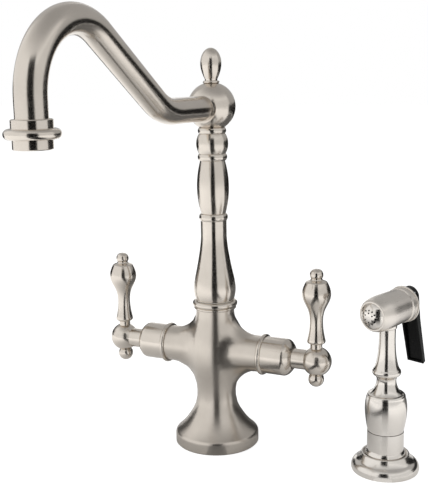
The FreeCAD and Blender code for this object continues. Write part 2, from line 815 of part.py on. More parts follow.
# ---------------------------------------------------------------- levers, made about Z at valve height
def lever_hub(side):
    ball = Part.makeSphere(hub_radius, Vector(side * (lever_reach + hub_offset), 0, valve_height))
    neck = along_arm(rod(hub_neck_radius, hub_neck_end, lever_reach), side)
    hub = ball.fuse(neck).cut(on_lever_axis(rod(2 * hub_radius, hub_flat, 2 * hub_radius), side))
    hub = hub.cut(on_lever_axis(rod(2 * hub_radius, -2 * hub_radius, -hub_flat), side))
    spindle_hole = along_arm(rod(spindle_radius + seat_clearance, hub_neck_end, spindle_end + body_gap), side)
    stud_hole = rod(lever_stud_radius + seat_clearance, hub_flat - lever_stud_length - body_gap, hub_flat)
    knob_hole = rod(knob_stud_radius + seat_clearance, -hub_flat, -spindle_radius)
    return drilled(hub, spindle_hole, on_lever_axis(stud_hole, side), on_lever_axis(knob_hole, side))


def lever():
    foot = hub_flat
    foot_top = foot + lever_foot_height
    skirt = foot + lever_skirt_rise
    stem = skirt + lever_stem_rise
    bulb = stem + lever_bulb_rise
    shoulder = bulb + lever_shoulder_rise
    tip_neck = shoulder + lever_tip_neck_rise
    tip = tip_neck + lever_tip_rise
    skirt_side = flow((lever_foot_radius, foot_top), (lever_skirt_radius, skirt), ((0.45, 0.86), (1.0, 1.0)))
    stem_side = flow((lever_skirt_radius, skirt), (lever_stem_radius, stem), ((0.38, 0.52), (1.0, 1.0)))
    bulb_side = flow((lever_stem_radius, stem), (lever_bulb_radius, bulb), ((0.48, 0.26), (0.78, 0.83), (1.0, 1.0)))
    shoulder_side = flow((lever_bulb_radius, bulb), (lever_shoulder_radius, shoulder), ((0.57, 0.37), (1.0, 1.0)))
    neck_side = flow((lever_shoulder_radius, shoulder), (lever_tip_neck_radius, tip_neck),
                     ((0.30, 0.18), (0.62, 0.78), (1.0, 1.0)))
    tip_side = flow((lever_tip_neck_radius, tip_neck), (lever_tip_radius, tip), ((0.32, 1.0), (0.78, 0.15)))
    return turned((0, foot - lever_stud_length), (lever_stud_radius, foot - lever_stud_length),
                  (lever_stud_radius, foot), (lever_foot_radius, foot), (lever_foot_radius, foot_top),
                  ("curve", *skirt_side), ("curve", *stem_side, *bulb_side, *shoulder_side),
                  ("curve", *neck_side), ("curve", *tip_side, (0, tip)))


def hub_knob():
    """Small ball under the hub; its stud is the screw that locks the hub to the spindle."""
    knob_top_radius = math.sqrt(knob_radius ** 2 - (knob_centre_drop - hub_flat) ** 2)
    return turned((0, -knob_centre_drop - knob_radius),
                  ("arc", (knob_radius, -knob_centre_drop), (knob_top_radius, -hub_flat)),
                  (knob_stud_radius, -hub_flat),
                  (knob_stud_radius, -spindle_radius - seat_clearance), (0, -spindle_radius - seat_clearance))


# ---------------------------------------------------------------- sprayer holder on the deck
def sprayer_flange():
    hole = guide_shank_radius + seat_clearance
    shape = turned((0, 0), (flange_radius - edge_break / 2, 0),
                   ("arc", (flange_radius, flange_step_height * 0.38), (flange_step_radius, flange_step_height)),
                   ("curve", (flange_step_radius - 2.2, flange_step_height + 2.4),
                    (flange_crest_radius + 1.0, flange_height - 0.6)),
                   ("arc", (flange_crest_radius + 0.2, flange_height), (flange_dish_radius, flange_height - 0.5)),
                   (flange_dish_radius, flange_dish_height), (0, flange_dish_height))
    gasket_outer = flange_radius - edge_break
    groove = tube(gasket_outer, gasket_outer - flange_gasket_width, 0, flange_gasket_thickness)
    underside = tube(gasket_outer - 2 * flange_gasket_width, hole + 3, 0, flange_dish_height / 3)
    return drilled(shape, rod(hole, 0, flange_dish_height), groove, underside)


def flange_gasket():
    outer = flange_radius - edge_break
    return tube(outer - seat_clearance, outer - flange_gasket_width + seat_clearance, 0, flange_gasket_thickness)


def sprayer_guide():
    foot = flange_dish_height
    foot_top = foot + guide_foot_height
    shape = turned((0, -guide_shank_drop), (guide_shank_radius, -guide_shank_drop), (guide_shank_radius, foot),
                   (guide_foot_radius, foot),
                   ("arc", (guide_foot_radius - 0.6, foot + guide_foot_height * 0.6), (guide_radius, foot_top)),
                   (guide_radius, guide_height), (0, guide_height))
    return shape.cut(rod(guide_bore_radius, -guide_shank_drop, guide_height))


# ---------------------------------------------------------------- sprayer
grip_foot = guide_height + body_gap
grip_top = grip_foot + grip_height
tail_foot = grip_foot - grip_tail_length
tail_radius = guide_bore_radius - grip_tail_gap
rear_face = head_rear + rear_ring_length
plunger_guide = rear_face - rear_wall


def hose_coupling():
    """Swivel end that the sprayer turns on; the hose screws into its underside."""
    nut_high = tail_foot - body_gap
    nut_low = nut_high - coupling_nut_height
    pin_high = nut_high + coupling_pin_length
    shape = hexagon(coupling_nut_flats, nut_low, nut_high).fuse(rod(coupling_pin_radius, nut_high, pin_high))
    return drilled(shape, rod(coupling_bore_radius, nut_low, pin_high),
                   rod(hose_thread_radius, nut_low, nut_low + hose_thread_depth))


def sprayer_grip():
    swell = flow((grip_foot_radius, grip_foot), (grip_radius, grip_top),
                 ((0.08, 0.12), (0.30, 0.66), (0.58, 1.0), (0.80, 0.76), (0.93, 0.33)))
    shape = turned((0, tail_foot), (tail_radius, tail_foot), (tail_radius, grip_foot),
                   (grip_foot_radius - edge_break / 3, grip_foot), ("curve", *swell),
                   ("arc", (grip_lip_radius - 0.45, grip_top - 0.9), (grip_shoulder_radius, grip_top)),
                   (0, grip_top))
    pin_hole = rod(coupling_pin_radius + running_clearance, tail_foot, tail_foot + coupling_pin_length)
    tenon_hole = rod(neck_tenon_radius + seat_clearance, grip_top - neck_tenon_length, grip_top)
    return drilled(shape, pin_hole, tenon_hole, rod(coupling_bore_radius, tail_foot, grip_top))


def head_barrel():
    """Outside of the head, made about Z with its front at the top."""
    widest = (head_radius, head_widest_reach)
    bulge = flow((head_rear_radius, -head_rear), widest, ((0.28, 0.45), (0.62, 0.95), (1.0, 1.0)))
    nose = flow(widest, (head_front_radius, head_front), ((0.55, 0.28), (0.88, 0.68), (1.0, 1.0)))
    return turned((0, -head_rear), (head_rear_radius, -head_rear), ("curve", *bulge, *nose), (0, head_front))


def sprayer_neck():
    ring_low = neck_ring_height - 2.6
    ring_high = neck_ring_height + 2.2
    flare_foot = head_height - head_radius - 2 * neck_flare
    lower = flow((neck_foot_radius, grip_top), (neck_root_radius, ring_low - 4.5),
                 ((0.286, 0.52), (0.552, 0.79), (0.9, 0.98), (1.0, 1.0)))
    upper = flow((neck_waist_radius, ring_high + 1.6), (neck_stem_radius, flare_foot),
                 ((0.14, 0.42), (0.36, 0.80), (0.60, 1.0), (1.0, 1.0)))
    shape = turned((0, grip_top - neck_tenon_length), (neck_tenon_radius, grip_top - neck_tenon_length),
                   (neck_tenon_radius, grip_top), (neck_foot_radius, grip_top),
                   ("curve", *lower),
                   ("curve", (neck_root_radius + 0.4, ring_low - 2.2), (neck_ring_radius - 1.2, ring_low)),
                   ("arc", (neck_ring_radius, neck_ring_height), (neck_ring_radius - 1.0, ring_high)),
                   (neck_waist_radius, ring_high + 1.6),
                   ("curve", *upper),
                   ("curve", (neck_stem_radius + neck_flare / 3, flare_foot + 1.5 * neck_flare),
                    (neck_stem_radius + neck_flare, flare_foot + 2.2 * neck_flare)),
                   (neck_stem_radius + neck_flare, head_height), (0, head_height))
    barrel = tilted_head(head_barrel())
    tenon_gap = body_gap + head_tenon_radius * math.tan(math.radians(head_tilt))
    tenon = rod(head_tenon_radius, head_height - head_radius - 1, head_height - valve_body_radius - tenon_gap)
    waterway = rod(coupling_bore_radius, grip_top - neck_tenon_length, head_height)
    return shape.cut(barrel).fuse(tenon).cut(waterway)


def sprayer_head():
    seat = head_front - face_seat_depth
    tilt = math.radians(head_tilt)
    straight_down = Vector(0, -math.cos(tilt), math.sin(tilt))
    tenon_hole = Part.makeCylinder(head_tenon_radius + seat_clearance, head_radius + 1, ORIGIN, straight_down)
    return drilled(head_barrel(), rod(head_bore_radius - face_lip - seat_clearance, -head_rear, head_front),
                   rod(head_bore_radius, -head_rear, seat - 2 * face_lip), rod(face_radius, seat, head_front),
                   tenon_hole)


def spray_face():
    """Domed plate with two rings of spray holes."""
    rim = face_radius - seat_clearance
    low = head_front - face_seat_depth
    edge = low + face_plate_thickness
    dome = turned((0, low), (rim, low), (rim, edge),
                  ("curve", (rim * 0.80, edge + face_crown * 0.45), (rim * 0.52, edge + face_crown * 0.83),
                   (rim * 0.28, edge + face_crown * 0.97), (0, edge + face_crown)))
    hollow = turned((0, low), (rim - 2 * face_lip, low),
                    ("curve", (rim * 0.68, low + face_crown * 0.45), (rim * 0.45, low + face_crown * 0.83),
                     (rim * 0.24, low + face_crown * 0.97), (0, low + face_crown)))
    holes = []
    for radius, count, first in face_rings:
        for index in range(count):
            angle = math.radians(first + 360 * index / count)
            holes.append(rod(face_hole_radius, low - 1, head_front + face_crown,
                             radius * math.cos(angle), radius * math.sin(angle)))
    return drilled(dome, hollow, *holes)


def rear_ring():
    """Cap that closes the back of the head and guides the plunger."""
    bead_low = -rear_face
    shape = turned((0, bead_low), (rear_bead_radius - rear_bead_length / 2, bead_low),
                   ("arc", (rear_bead_radius, bead_low + rear_bead_length / 2),
                    (rear_bead_radius - rear_bead_length / 2, bead_low + rear_bead_length)),
                   (rear_ring_radius, -head_rear - edge_break), (rear_ring_radius - edge_break, -head_rear),
                   (0, -head_rear))
    cavity = rod(head_bore_radius, -plunger_guide, -head_rear)
    plunger_hole = rod(plunger_radius + running_clearance, -rear_face - 1, -plunger_guide)
    pin_hole = trigger_pin_rod(trigger_pin_radius + seat_clearance, trigger_width)
    return drilled(shape.fuse(pin_lug()), cavity, plunger_hole, pin_hole)


def pin_lug():
    """Ear on the cap for the trigger's pin. In the head's own frame up is +Y and back is -Z."""
    pin_place = Vector(-lug_width / 2, trigger_pin_rise, -trigger_pin_back)
    eye = Part.makeCylinder(lug_radius, lug_width, pin_place, Vector(1, 0, 0))
    arm = Part.makeBox(lug_width, 2 * lug_radius, trigger_pin_back - rear_face + rear_wall / 2,
                       Vector(-lug_width / 2, trigger_pin_rise - lug_radius, -trigger_pin_back))
    return eye.fuse(arm)


def trigger_pin_rod(radius, width):
    """A rod across the head on the trigger's axis."""
    start = Vector(-width / 2, trigger_pin_rise, -trigger_pin_back)
    return Part.makeCylinder(radius, width, start, Vector(1, 0, 0))


def valve_body():
    """Sleeve inside the head; water passes when the plunger's disc leaves its front face."""
    low = -head_rear
    high = low + valve_body_length
    feed = Part.makeCylinder(valve_feed_radius, valve_body_radius + 1, ORIGIN, Vector(0, -1, 0))
    return drilled(rod(valve_body_radius, low, high), rod(valve_chamber_radius, low, high - valve_floor),
                   rod(valve_seat_bore, low, high), feed)


def plunger_tip():
    """Distance behind the sprayer's axis at which the plunger all but touches the trigger."""
    (upper_back, upper), (lower_back, lower) = trigger_back_edge[:2]
    back_at_axis = upper_back + (lower_back - upper_back) * upper / (upper - lower)
    return back_at_axis - trigger_wall - body_gap


def sprayer_plunger():
    disc_low = valve_body_length - head_rear + valve_rest_gap
    disc_high = disc_low + plunger_disc_length
    tip = -plunger_tip()
    dome = plunger_radius * math.sqrt(0.5)
    return turned((0, tip), ("arc", (dome, tip + plunger_radius - dome), (plunger_radius, tip + plunger_radius)),
                  (plunger_radius, disc_low), (plunger_disc_radius, disc_low),
                  (plunger_disc_radius, disc_high), (0, disc_high))


def side_view(points, width):
    """A solid of this width whose side view has these (distance back, height) corners."""
    corners = [Vector(-width / 2, height, -back) for back, height in points]
    return Part.Face(Part.makePolygon(corners + corners[:1])).extrude(Vector(width, 0, 0))


def round_topped(width, top):
    """A post along the head's axis whose end view is a strip with a round top."""
    reach = 2 * trigger_pin_back
    round_end = Part.makeCylinder(width / 2, reach, Vector(0, top - width / 2, -reach), UP)
    strip = Part.makeBox(width, reach * 2, reach, Vector(-width / 2, top - width / 2 - 2 * reach, -reach))
    return round_end.fuse(strip)


def trigger():
    """A channel, open towards the grip, that hangs from its pin."""
    outside = side_view(trigger_back_edge + trigger_front_edge, trigger_width)
    outside = outside.common(round_topped(trigger_width, trigger_top))
    inner_width = trigger_width - 2 * trigger_wall
    inner_back = tuple((back - trigger_wall, height) for back, height in trigger_back_edge)
    inner_front = tuple((back - rear_face, height) for back, height in trigger_front_edge)
    pocket = side_view(inner_back + inner_front, inner_width)
    pocket = pocket.common(round_topped(inner_width, trigger_top - trigger_wall))
    pin_hole = trigger_pin_rod(trigger_pin_radius + running_clearance, trigger_width)
    return drilled(outside, pocket, pin_hole)


# ---------------------------------------------------------------- the assembly, one entry per node
def assembly():
    nodes = {}
    nodes["body_casting"] = body_casting()
    nodes["base_gasket"] = base_gasket()
    nodes["mounting_shank"] = mounting_shank()
    seal, washer, nut = deck_stack(shank_radius, nut_flats)
    nodes["deck_seal"] = seal
    nodes["deck_washer"] = washer
    nodes["deck_nut"] = nut
    nodes["diverter_valve"] = diverter_valve()
    nodes["swivel_collar"] = swivel_collar()
    nodes["swivel_washer"] = swivel_washer()

    nodes["spout_column"] = spout_column()
    nodes["retaining_ring"] = retaining_ring()
    nodes["column_o_rings"] = column_o_rings()
    nodes["spout_hub"] = spout_hub()
    nodes["finial"] = finial()
    path = spout_path()
    tube_end = path.Vertexes[-1].Z
    nodes["spout_tube"] = spout_tube(path)
    collar_foot = tube_end + outlet_socket_depth - outlet_collar_height - outlet_ring_thickness
    nodes["outlet_collar"] = at_outlet(outlet_collar(), collar_foot)
    nodes["aerator_shell"] = at_outlet(aerator_shell(), collar_foot)
    nodes["aerator_insert"] = at_outlet(aerator_insert(), collar_foot)
    nodes["aerator_washer"] = at_outlet(aerator_washer(), collar_foot)

    for side, name in ((-1, "left"), (1, "right")):
        nodes[name + "_seat_seal"] = along_arm(seat_seal(), side)
        nodes[name + "_fixed_disc"] = along_arm(ceramic_disc(cartridge_foot, fixed_disc_top), side)
        nodes[name + "_moving_disc"] = along_arm(ceramic_disc(moving_disc_foot, moving_disc_top), side)
        nodes[name + "_spindle"] = along_arm(spindle(), side)
        nodes[name + "_cartridge_housing"] = along_arm(cartridge_housing(), side)
        nodes[name + "_arm_ring"] = along_arm(arm_ring(), side)
        nodes[name + "_bonnet"] = along_arm(bonnet(), side)
        nodes[name + "_lever_hub"] = lever_hub(side)
        nodes[name + "_lever"] = on_lever_axis(lever(), side)
        nodes[name + "_hub_knob"] = on_lever_axis(hub_knob(), side)

    nodes["sprayer_flange"] = in_holder(sprayer_flange())
    nodes["sprayer_flange_gasket"] = in_holder(flange_gasket())
    nodes["sprayer_guide"] = in_holder(sprayer_guide())
    seal, washer, nut = deck_stack(guide_shank_radius, guide_nut_flats)
    nodes["guide_seal"] = in_holder(seal)
    nodes["guide_washer"] = in_holder(washer)
    nodes["guide_nut"] = in_holder(nut)
    nodes["hose_coupling"] = in_holder(hose_coupling())
    nodes["sprayer_grip"] = in_holder(sprayer_grip())
    nodes["sprayer_neck"] = in_holder(sprayer_neck())
    nodes["sprayer_head"] = in_head(sprayer_head())
    nodes["spray_face"] = in_head(spray_face())
    nodes["sprayer_rear_ring"] = in_head(rear_ring())
    nodes["sprayer_valve_body"] = in_head(valve_body())
    nodes["sprayer_plunger"] = in_head(sprayer_plunger())
    nodes["sprayer_trigger"] = in_head(trigger())
    nodes["trigger_pin"] = in_head(trigger_pin_rod(trigger_pin_radius, trigger_width - 2 * trigger_pin_inset))
    return nodes


os.makedirs("parts", exist_ok=True)
for node_name, node_shape in assembly().items():
    node_shape.exportStep("parts/" + node_name + ".step")
    box = node_shape.BoundBox
    print("%-24s %2d solid(s) %9.0f mm3  x %.1f..%.1f  y %.1f..%.1f  z %.1f..%.1f"
          % (node_name, len(node_shape.Solids), node_shape.Volume,
             box.XMin, box.XMax, box.YMin, box.YMax, box.ZMin, box.ZMax))
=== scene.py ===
# %% [markdown]
# # A two handle kitchen faucet with a side sprayer
# The real object is a turned and brushed nickel faucet: a cross-shaped valve body with a lever on each
# arm, a turned column that carries a swan-neck spout, and a sprayer that lifts out of its own holder.
# Its exact shape was built as a CAD model first. This lesson loads that model as a fixed frame, gives
# every piece a smooth surface and a finish, and sets up a small studio round it.

# %% Load the frame
import math
import bmesh
import bpy
from mathutils import Matrix, Vector


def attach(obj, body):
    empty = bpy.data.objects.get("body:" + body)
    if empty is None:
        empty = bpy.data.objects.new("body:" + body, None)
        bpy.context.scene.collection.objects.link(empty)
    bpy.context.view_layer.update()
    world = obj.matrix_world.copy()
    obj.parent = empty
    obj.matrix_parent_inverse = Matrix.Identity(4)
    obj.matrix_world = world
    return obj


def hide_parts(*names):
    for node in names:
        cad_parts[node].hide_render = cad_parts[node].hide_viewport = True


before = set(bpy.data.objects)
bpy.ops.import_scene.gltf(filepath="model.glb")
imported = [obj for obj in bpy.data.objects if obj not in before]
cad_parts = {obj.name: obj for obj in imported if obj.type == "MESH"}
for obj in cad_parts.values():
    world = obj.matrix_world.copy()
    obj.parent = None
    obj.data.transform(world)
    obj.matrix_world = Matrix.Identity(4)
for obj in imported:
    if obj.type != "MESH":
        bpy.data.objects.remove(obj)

for left_over in ("Cube", "Light", "Camera"):
    if left_over in bpy.data.objects:
        bpy.data.objects.remove(bpy.data.objects[left_over])

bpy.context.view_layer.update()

# %% [markdown]
# ## Lengths
# Blender counts in metres and a faucet is measured in millimetres, so one small function turns one
# into the other. The places that several steps need, such as the axes that the pieces were turned
# about, are written once here.

# %% Lengths and axes
def mm(length):
    return length / 1000.0

valve_height = mm(82.0)
lever_reach = mm(90.0)
spout_reach = mm(233.3)
sprayer_foot = Vector((mm(147.2), mm(2.0), 0.0))
head_height = mm(129.6)
sprayer_turn = math.radians(20.5)
head_tilt = math.radians(3.0)
print("valve axis at", valve_height, "m, spout reach", spout_reach, "m")

# %% [markdown]
# ## Two helpers for every finish
# Colours are written the way a paint card or a web page gives them, as hex values, and shaders want
# linear light, so one function converts them. A second one adds a node to a node tree, sets its values
# and joins its inputs in one go, which keeps each finish short enough to read. A Mix node has several
# sockets of the same name, so its colour sockets are known by number.

# %% Colour and node helpers
def linear(hex_colour):
    channels = [int(hex_colour[i:i + 2], 16) / 255.0 for i in (1, 3, 5)]
    light = [c / 12.92 if c <= 0.04045 else ((c + 0.055) / 1.055) ** 2.4 for c in channels]
    return (*light, 1.0)

def add_node(tree, kind, settings=None, values=None, links=None):
    node = tree.nodes.new(kind)
    for name, value in (settings or {}).items():
        setattr(node, name, value)
    for socket, value in (values or {}).items():
        node.inputs[socket].default_value = value
    for socket, source in (links or {}).items():
        tree.links.new(source, node.inputs[socket])
    return node

mix_first, mix_second, mix_result = 6, 7, 2
noise_low, noise_high = 0.3, 0.7    # nearly all of a noise texture's values lie between these

print("mid grey in linear light:", round(linear("#808080")[0], 3))

# %% [markdown]
# ## Satin nickel
# The real finish is nickel plated on brass and then brushed with a fine nylon wheel while each piece
# turns. That leaves rings of very fine scratches round the piece's own axis, so a highlight is sharp
# across the rings and smeared along them: tall bright bands with a soft dark band between. A shader
# gives this with the anisotropic setting, whose direction is worked out here from the position of a
# point round the axis. The true scratches are about 0.1 mm apart, too fine to show in a picture where
# one pixel covers almost 1 mm, so they are drawn 0.7 mm apart.

# %% Satin nickel, brushed round an axis
ring_spacing = mm(0.7)
slow_change = 0.02          # share of that change which the scratches show away from their axis
patch_size = mm(14.0)       # soft patches of the darker tone
scratch_strength = 0.015
scratch_depth = mm(0.05)
quarter_turn = 0.25         # turns the smeared highlight to run along the piece

def brushed_nickel(name, light_tone, dark_tone, smooth, rough, centre=(0, 0, 0), axis=(0, 0, 1),
                   stretch=0.6):
    metal = bpy.data.materials.new(name)
    metal.use_nodes = True
    tree = metal.node_tree
    shader = tree.nodes["Principled BSDF"]
    place = add_node(tree, "ShaderNodeTexCoord").outputs["Object"]
    from_axis = add_node(tree, "ShaderNodeVectorMath", {"operation": "SUBTRACT"}, {1: centre},
                         {0: place})
    around = add_node(tree, "ShaderNodeVectorMath", {"operation": "CROSS_PRODUCT"}, {0: axis},
                      {1: from_axis.outputs[0]})
    in_world = add_node(tree, "ShaderNodeVectorTransform",
                        {"vector_type": "VECTOR", "convert_from": "OBJECT", "convert_to": "WORLD"},
                        links={0: around.outputs[0]})
    along = [1.0 / ring_spacing if a else slow_change / ring_spacing for a in axis]
    ring_place = add_node(tree, "ShaderNodeMapping", values={"Scale": along},
                          links={"Vector": from_axis.outputs[0]})
    rings = add_node(tree, "ShaderNodeTexNoise",
                     values={"Scale": 1.0, "Detail": 2.0, "Roughness": 0.6},
                     links={"Vector": ring_place.outputs[0]})
    patches = add_node(tree, "ShaderNodeTexNoise", values={"Scale": 1.0 / patch_size, "Detail": 2.0},
                       links={"Vector": place})
    tone = add_node(tree, "ShaderNodeMix", {"data_type": "RGBA"},
                    {mix_first: linear(light_tone), mix_second: linear(dark_tone)},
                    {0: patches.outputs["Fac"]})
    sheen = add_node(tree, "ShaderNodeMapRange",
                     values={"From Min": noise_low, "From Max": noise_high, "To Min": smooth,
                             "To Max": rough},
                     links={"Value": rings.outputs["Fac"]})
    relief = add_node(tree, "ShaderNodeBump",
                      values={"Strength": scratch_strength, "Distance": scratch_depth},
                      links={"Height": rings.outputs["Fac"]})
    shader.inputs["Metallic"].default_value = 1.0
    shader.inputs["Anisotropic"].default_value = stretch
    shader.inputs["Anisotropic Rotation"].default_value = quarter_turn
    tree.links.new(tone.outputs[mix_result], shader.inputs["Base Color"])
    tree.links.new(sheen.outputs[0], shader.inputs["Roughness"])
    tree.links.new(in_world.outputs[0], shader.inputs["Tangent"])
    tree.links.new(relief.outputs[0], shader.inputs["Normal"])
    return metal

valve_axis = (0.0, 0.0, valve_height)
satin_tones = ("#DCD4CA", "#D0C8BE", 0.19, 0.24)
satin_on_post = brushed_nickel("satin_nickel_on_the_post", *satin_tones)
# The body's copy of the satin nickel has darker tones, which are painted shade on the body casting. Its
# higher roughness and weaker stretch are its own.
satin_painted_darker_on_body = brushed_nickel("satin_nickel_on_the_body", "#D4CCC2", "#C8C0B6", 0.28, 0.32,
                               stretch=0.45)
satin_on_arms = brushed_nickel("satin_nickel_on_the_arms", *satin_tones, valve_axis, (1, 0, 0))
satin_on_left_lever = brushed_nickel("satin_nickel_on_the_left_lever", *satin_tones,
                                     (-lever_reach, 0, 0))
satin_on_right_lever = brushed_nickel("satin_nickel_on_the_right_lever", *satin_tones,
                                      (lever_reach, 0, 0))
satin_on_outlet = brushed_nickel("satin_nickel_on_the_outlet", *satin_tones, (0, -spout_reach, 0))
satin_on_tube = brushed_nickel("satin_nickel_on_the_tube", *satin_tones, stretch=0.0)
bright_tones = ("#E8E3DD", "#DDD7CF", 0.16, 0.23)
bright_on_sprayer = brushed_nickel("bright_nickel_on_the_sprayer", *bright_tones,
                                   tuple(sprayer_foot), stretch=0.4)
bright_on_head = brushed_nickel("bright_nickel_on_the_head", "#E6E0D9", "#DAD3CA", 0.27, 0.34,
                                stretch=0.0)
bright_on_face = brushed_nickel("bright_nickel_on_the_spray_face", *bright_tones, stretch=0.0)
print("nickel finishes:", [m.name for m in bpy.data.materials if "nickel_on" in m.name])

# %% [markdown]
# ## The finishes of the small pieces
# The trigger is moulded ABS, glossy and nearly black, with a skin that the polished mould left very
# slightly uneven. Washers and rings are nitrile rubber, matt and a little dusty. The nuts and the shank
# are turned brass with the tool's own rings, the flat washers are zinc plated steel with soft crystal
# patches, the aerator's insert is moulded acetal and the valve discs are lapped alumina ceramic. All
# of them need the same few nodes, so one function makes them from their own colours and grain sizes.

# %% Plastic, rubber, brass, steel and ceramic
grain_strength = 0.1
abs_mirror_index = 1.3      # lower than real ABS, so the trigger mirrors less of the white room

def mottled(name, light_tone, dark_tone, grain, smooth, rough, relief, metallic=0.0,
            squeeze=(1, 1, 1)):
    stuff = bpy.data.materials.new(name)
    stuff.use_nodes = True
    tree = stuff.node_tree
    shader = tree.nodes["Principled BSDF"]
    place = add_node(tree, "ShaderNodeTexCoord").outputs["Object"]
    placed = add_node(tree, "ShaderNodeMapping", values={"Scale": squeeze},
                      links={"Vector": place})
    grains = add_node(tree, "ShaderNodeTexNoise", values={"Scale": 1.0 / grain, "Detail": 3.0},
                      links={"Vector": placed.outputs[0]})
    tone = add_node(tree, "ShaderNodeMix", {"data_type": "RGBA"},
                    {mix_first: linear(light_tone), mix_second: linear(dark_tone)},
                    {0: grains.outputs["Fac"]})
    sheen = add_node(tree, "ShaderNodeMapRange",
                     values={"From Min": noise_low, "From Max": noise_high, "To Min": smooth,
                             "To Max": rough},
                     links={"Value": grains.outputs["Fac"]})
    bumps = add_node(tree, "ShaderNodeBump", values={"Strength": grain_strength, "Distance": relief},
                     links={"Height": grains.outputs["Fac"]})
    shader.inputs["Metallic"].default_value = metallic
    tree.links.new(tone.outputs[mix_result], shader.inputs["Base Color"])
    tree.links.new(sheen.outputs[0], shader.inputs["Roughness"])
    tree.links.new(bumps.outputs[0], shader.inputs["Normal"])
    return stuff

moulded_abs = mottled("black_moulded_abs", "#030303", "#080809", mm(6.0), 0.25, 0.35, mm(0.1))
abs_shader = moulded_abs.node_tree.nodes["Principled BSDF"]
abs_shader.inputs["IOR"].default_value = abs_mirror_index
nitrile_rubber = mottled("black_nitrile_rubber", "#232322", "#2E2D2C", mm(1.5), 0.6, 0.75, mm(0.1))
turned_brass = mottled("raw_turned_brass", "#C9A45C", "#B8914A", mm(1.0), 0.24, 0.34, mm(0.05),
                       metallic=1.0, squeeze=(0.1, 0.1, 1))
zinc_steel = mottled("zinc_plated_steel", "#B9BCBE", "#A3A7AA", mm(3.0), 0.28, 0.42, mm(0.05),
                     metallic=1.0)
moulded_acetal = mottled("white_moulded_acetal", "#ECEBE6", "#E2E0DA", mm(4.0), 0.3, 0.42, mm(0.1))
lapped_ceramic = mottled("lapped_alumina_ceramic", "#F0EDE6", "#E7E3DA", mm(2.0), 0.15, 0.25, mm(0.02))
print("finishes so far:", len(bpy.data.materials))

# %% [markdown]
# ## A smooth surface for each piece
# The CAD model arrives as loose triangles, which look faceted in a glossy finish. Those nodes stay as
# they are. A copy of each one has its doubled corners merged, its faces shaded smooth, and only the
# edges that really turn sharply are kept sharp, so light runs over a turned curve without a break.

# %% Make smooth skins
weld_distance = mm(0.0005)

def smooth_skin(node, body, finish, sharp_angle=32.0):
    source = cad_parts[node].data
    shape = bmesh.new()
    corners = [shape.verts.new(v.co) for v in source.vertices]
    for face in source.polygons:
        shape.faces.new([corners[i] for i in face.vertices])
    bmesh.ops.remove_doubles(shape, verts=shape.verts, dist=weld_distance)
    bmesh.ops.dissolve_degenerate(shape, edges=shape.edges, dist=weld_distance)
    for face in shape.faces:
        face.smooth = True
    for edge in shape.edges:
        if len(edge.link_faces) != 2 or edge.calc_face_angle(0.0) > math.radians(sharp_angle):
            edge.smooth = False
    mesh = bpy.data.meshes.new(node + "_skin")
    shape.to_mesh(mesh)
    shape.free()
    mesh.materials.append(finish)
    skin = bpy.data.objects.new(node + "_skin", mesh)
    bpy.context.scene.collection.objects.link(skin)
    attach(skin, body)
    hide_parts(node)
    return skin

satin_pieces = {
    "faucet_body": {"body_casting": satin_painted_darker_on_body, "swivel_collar": satin_on_post,
                    "left_bonnet": satin_on_arms, "right_bonnet": satin_on_arms},
    "spout": {"spout_column": satin_on_post, "spout_hub": satin_on_post, "finial": satin_on_post,
              "outlet_collar": satin_on_outlet, "aerator_shell": satin_on_outlet},
    "left_handle": {"left_lever_hub": satin_on_arms, "left_lever": satin_on_left_lever,
                    "left_hub_knob": satin_on_left_lever},
    "right_handle": {"right_lever_hub": satin_on_arms, "right_lever": satin_on_right_lever,
                     "right_hub_knob": satin_on_right_lever},
}
for body, pieces in satin_pieces.items():
    for node, finish in pieces.items():
        skin = smooth_skin(node, body, finish)
        print(skin.name, len(skin.data.polygons), "faces")

# %% [markdown]
# ## The rings on the arms
# Where each bonnet meets the body the real faucet has a half-round ring, turned from brass. One side of
# its curve faces the dark back of the room and the other the light, so it reads as a black line beside
# a bright one. A turned piece is one outline carried round an axis, which a few lines of mesh code do.

# %% Turn the arm rings
arm_ring_start, arm_ring_end = mm(42.5), mm(46.5)               # from the post's axis
arm_ring_foot_radius, arm_ring_crest_radius = mm(15.1), mm(16.98)
arm_ring_wall = mm(0.4)                                         # what lies below the half round

def turned_about_x(name, outline, height, finish, sides=128, sharp_angle=40.0):
    """A closed ring of (distance along X, radius) points, turned about the X axis at that height."""
    shape = bmesh.new()
    rings = []
    for step in range(sides):
        turn = 2 * math.pi * step / sides
        rings.append([shape.verts.new((x, radius * math.sin(turn), height + radius * math.cos(turn)))
                      for x, radius in outline])
    for ring, after in zip(rings, rings[1:] + rings[:1]):
        for i in range(len(outline)):
            j = (i + 1) % len(outline)
            shape.faces.new((ring[i], ring[j], after[j], after[i]))
    bmesh.ops.recalc_face_normals(shape, faces=shape.faces)
    for face in shape.faces:
        face.smooth = True
    for edge in shape.edges:
        if edge.calc_face_angle(0.0) > math.radians(sharp_angle):
            edge.smooth = False
    mesh = bpy.data.meshes.new(name)
    shape.to_mesh(mesh)
    shape.free()
    mesh.materials.append(finish)
    piece = bpy.data.objects.new(name, mesh)
    bpy.context.scene.collection.objects.link(piece)
    return piece

def half_round(inner, outer, start, end, steps=20):
    middle, half = (start + end) / 2, (end - start) / 2
    curve = [(middle - half * math.cos(math.pi * i / steps),
              inner + (outer - inner) * math.sin(math.pi * i / steps)) for i in range(steps + 1)]
    return curve + [(end, inner - arm_ring_wall), (start, inner - arm_ring_wall)]

for side_name, direction in (("left", -1), ("right", 1)):
    ends = sorted((direction * arm_ring_start, direction * arm_ring_end))
    outline = half_round(arm_ring_foot_radius, arm_ring_crest_radius, *ends)
    ring = turned_about_x(side_name + "_half_round_ring", outline, valve_height, satin_on_arms)
    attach(ring, "faucet_body")
    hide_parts(side_name + "_arm_ring")
    print(ring.name, len(ring.data.polygons), "faces")

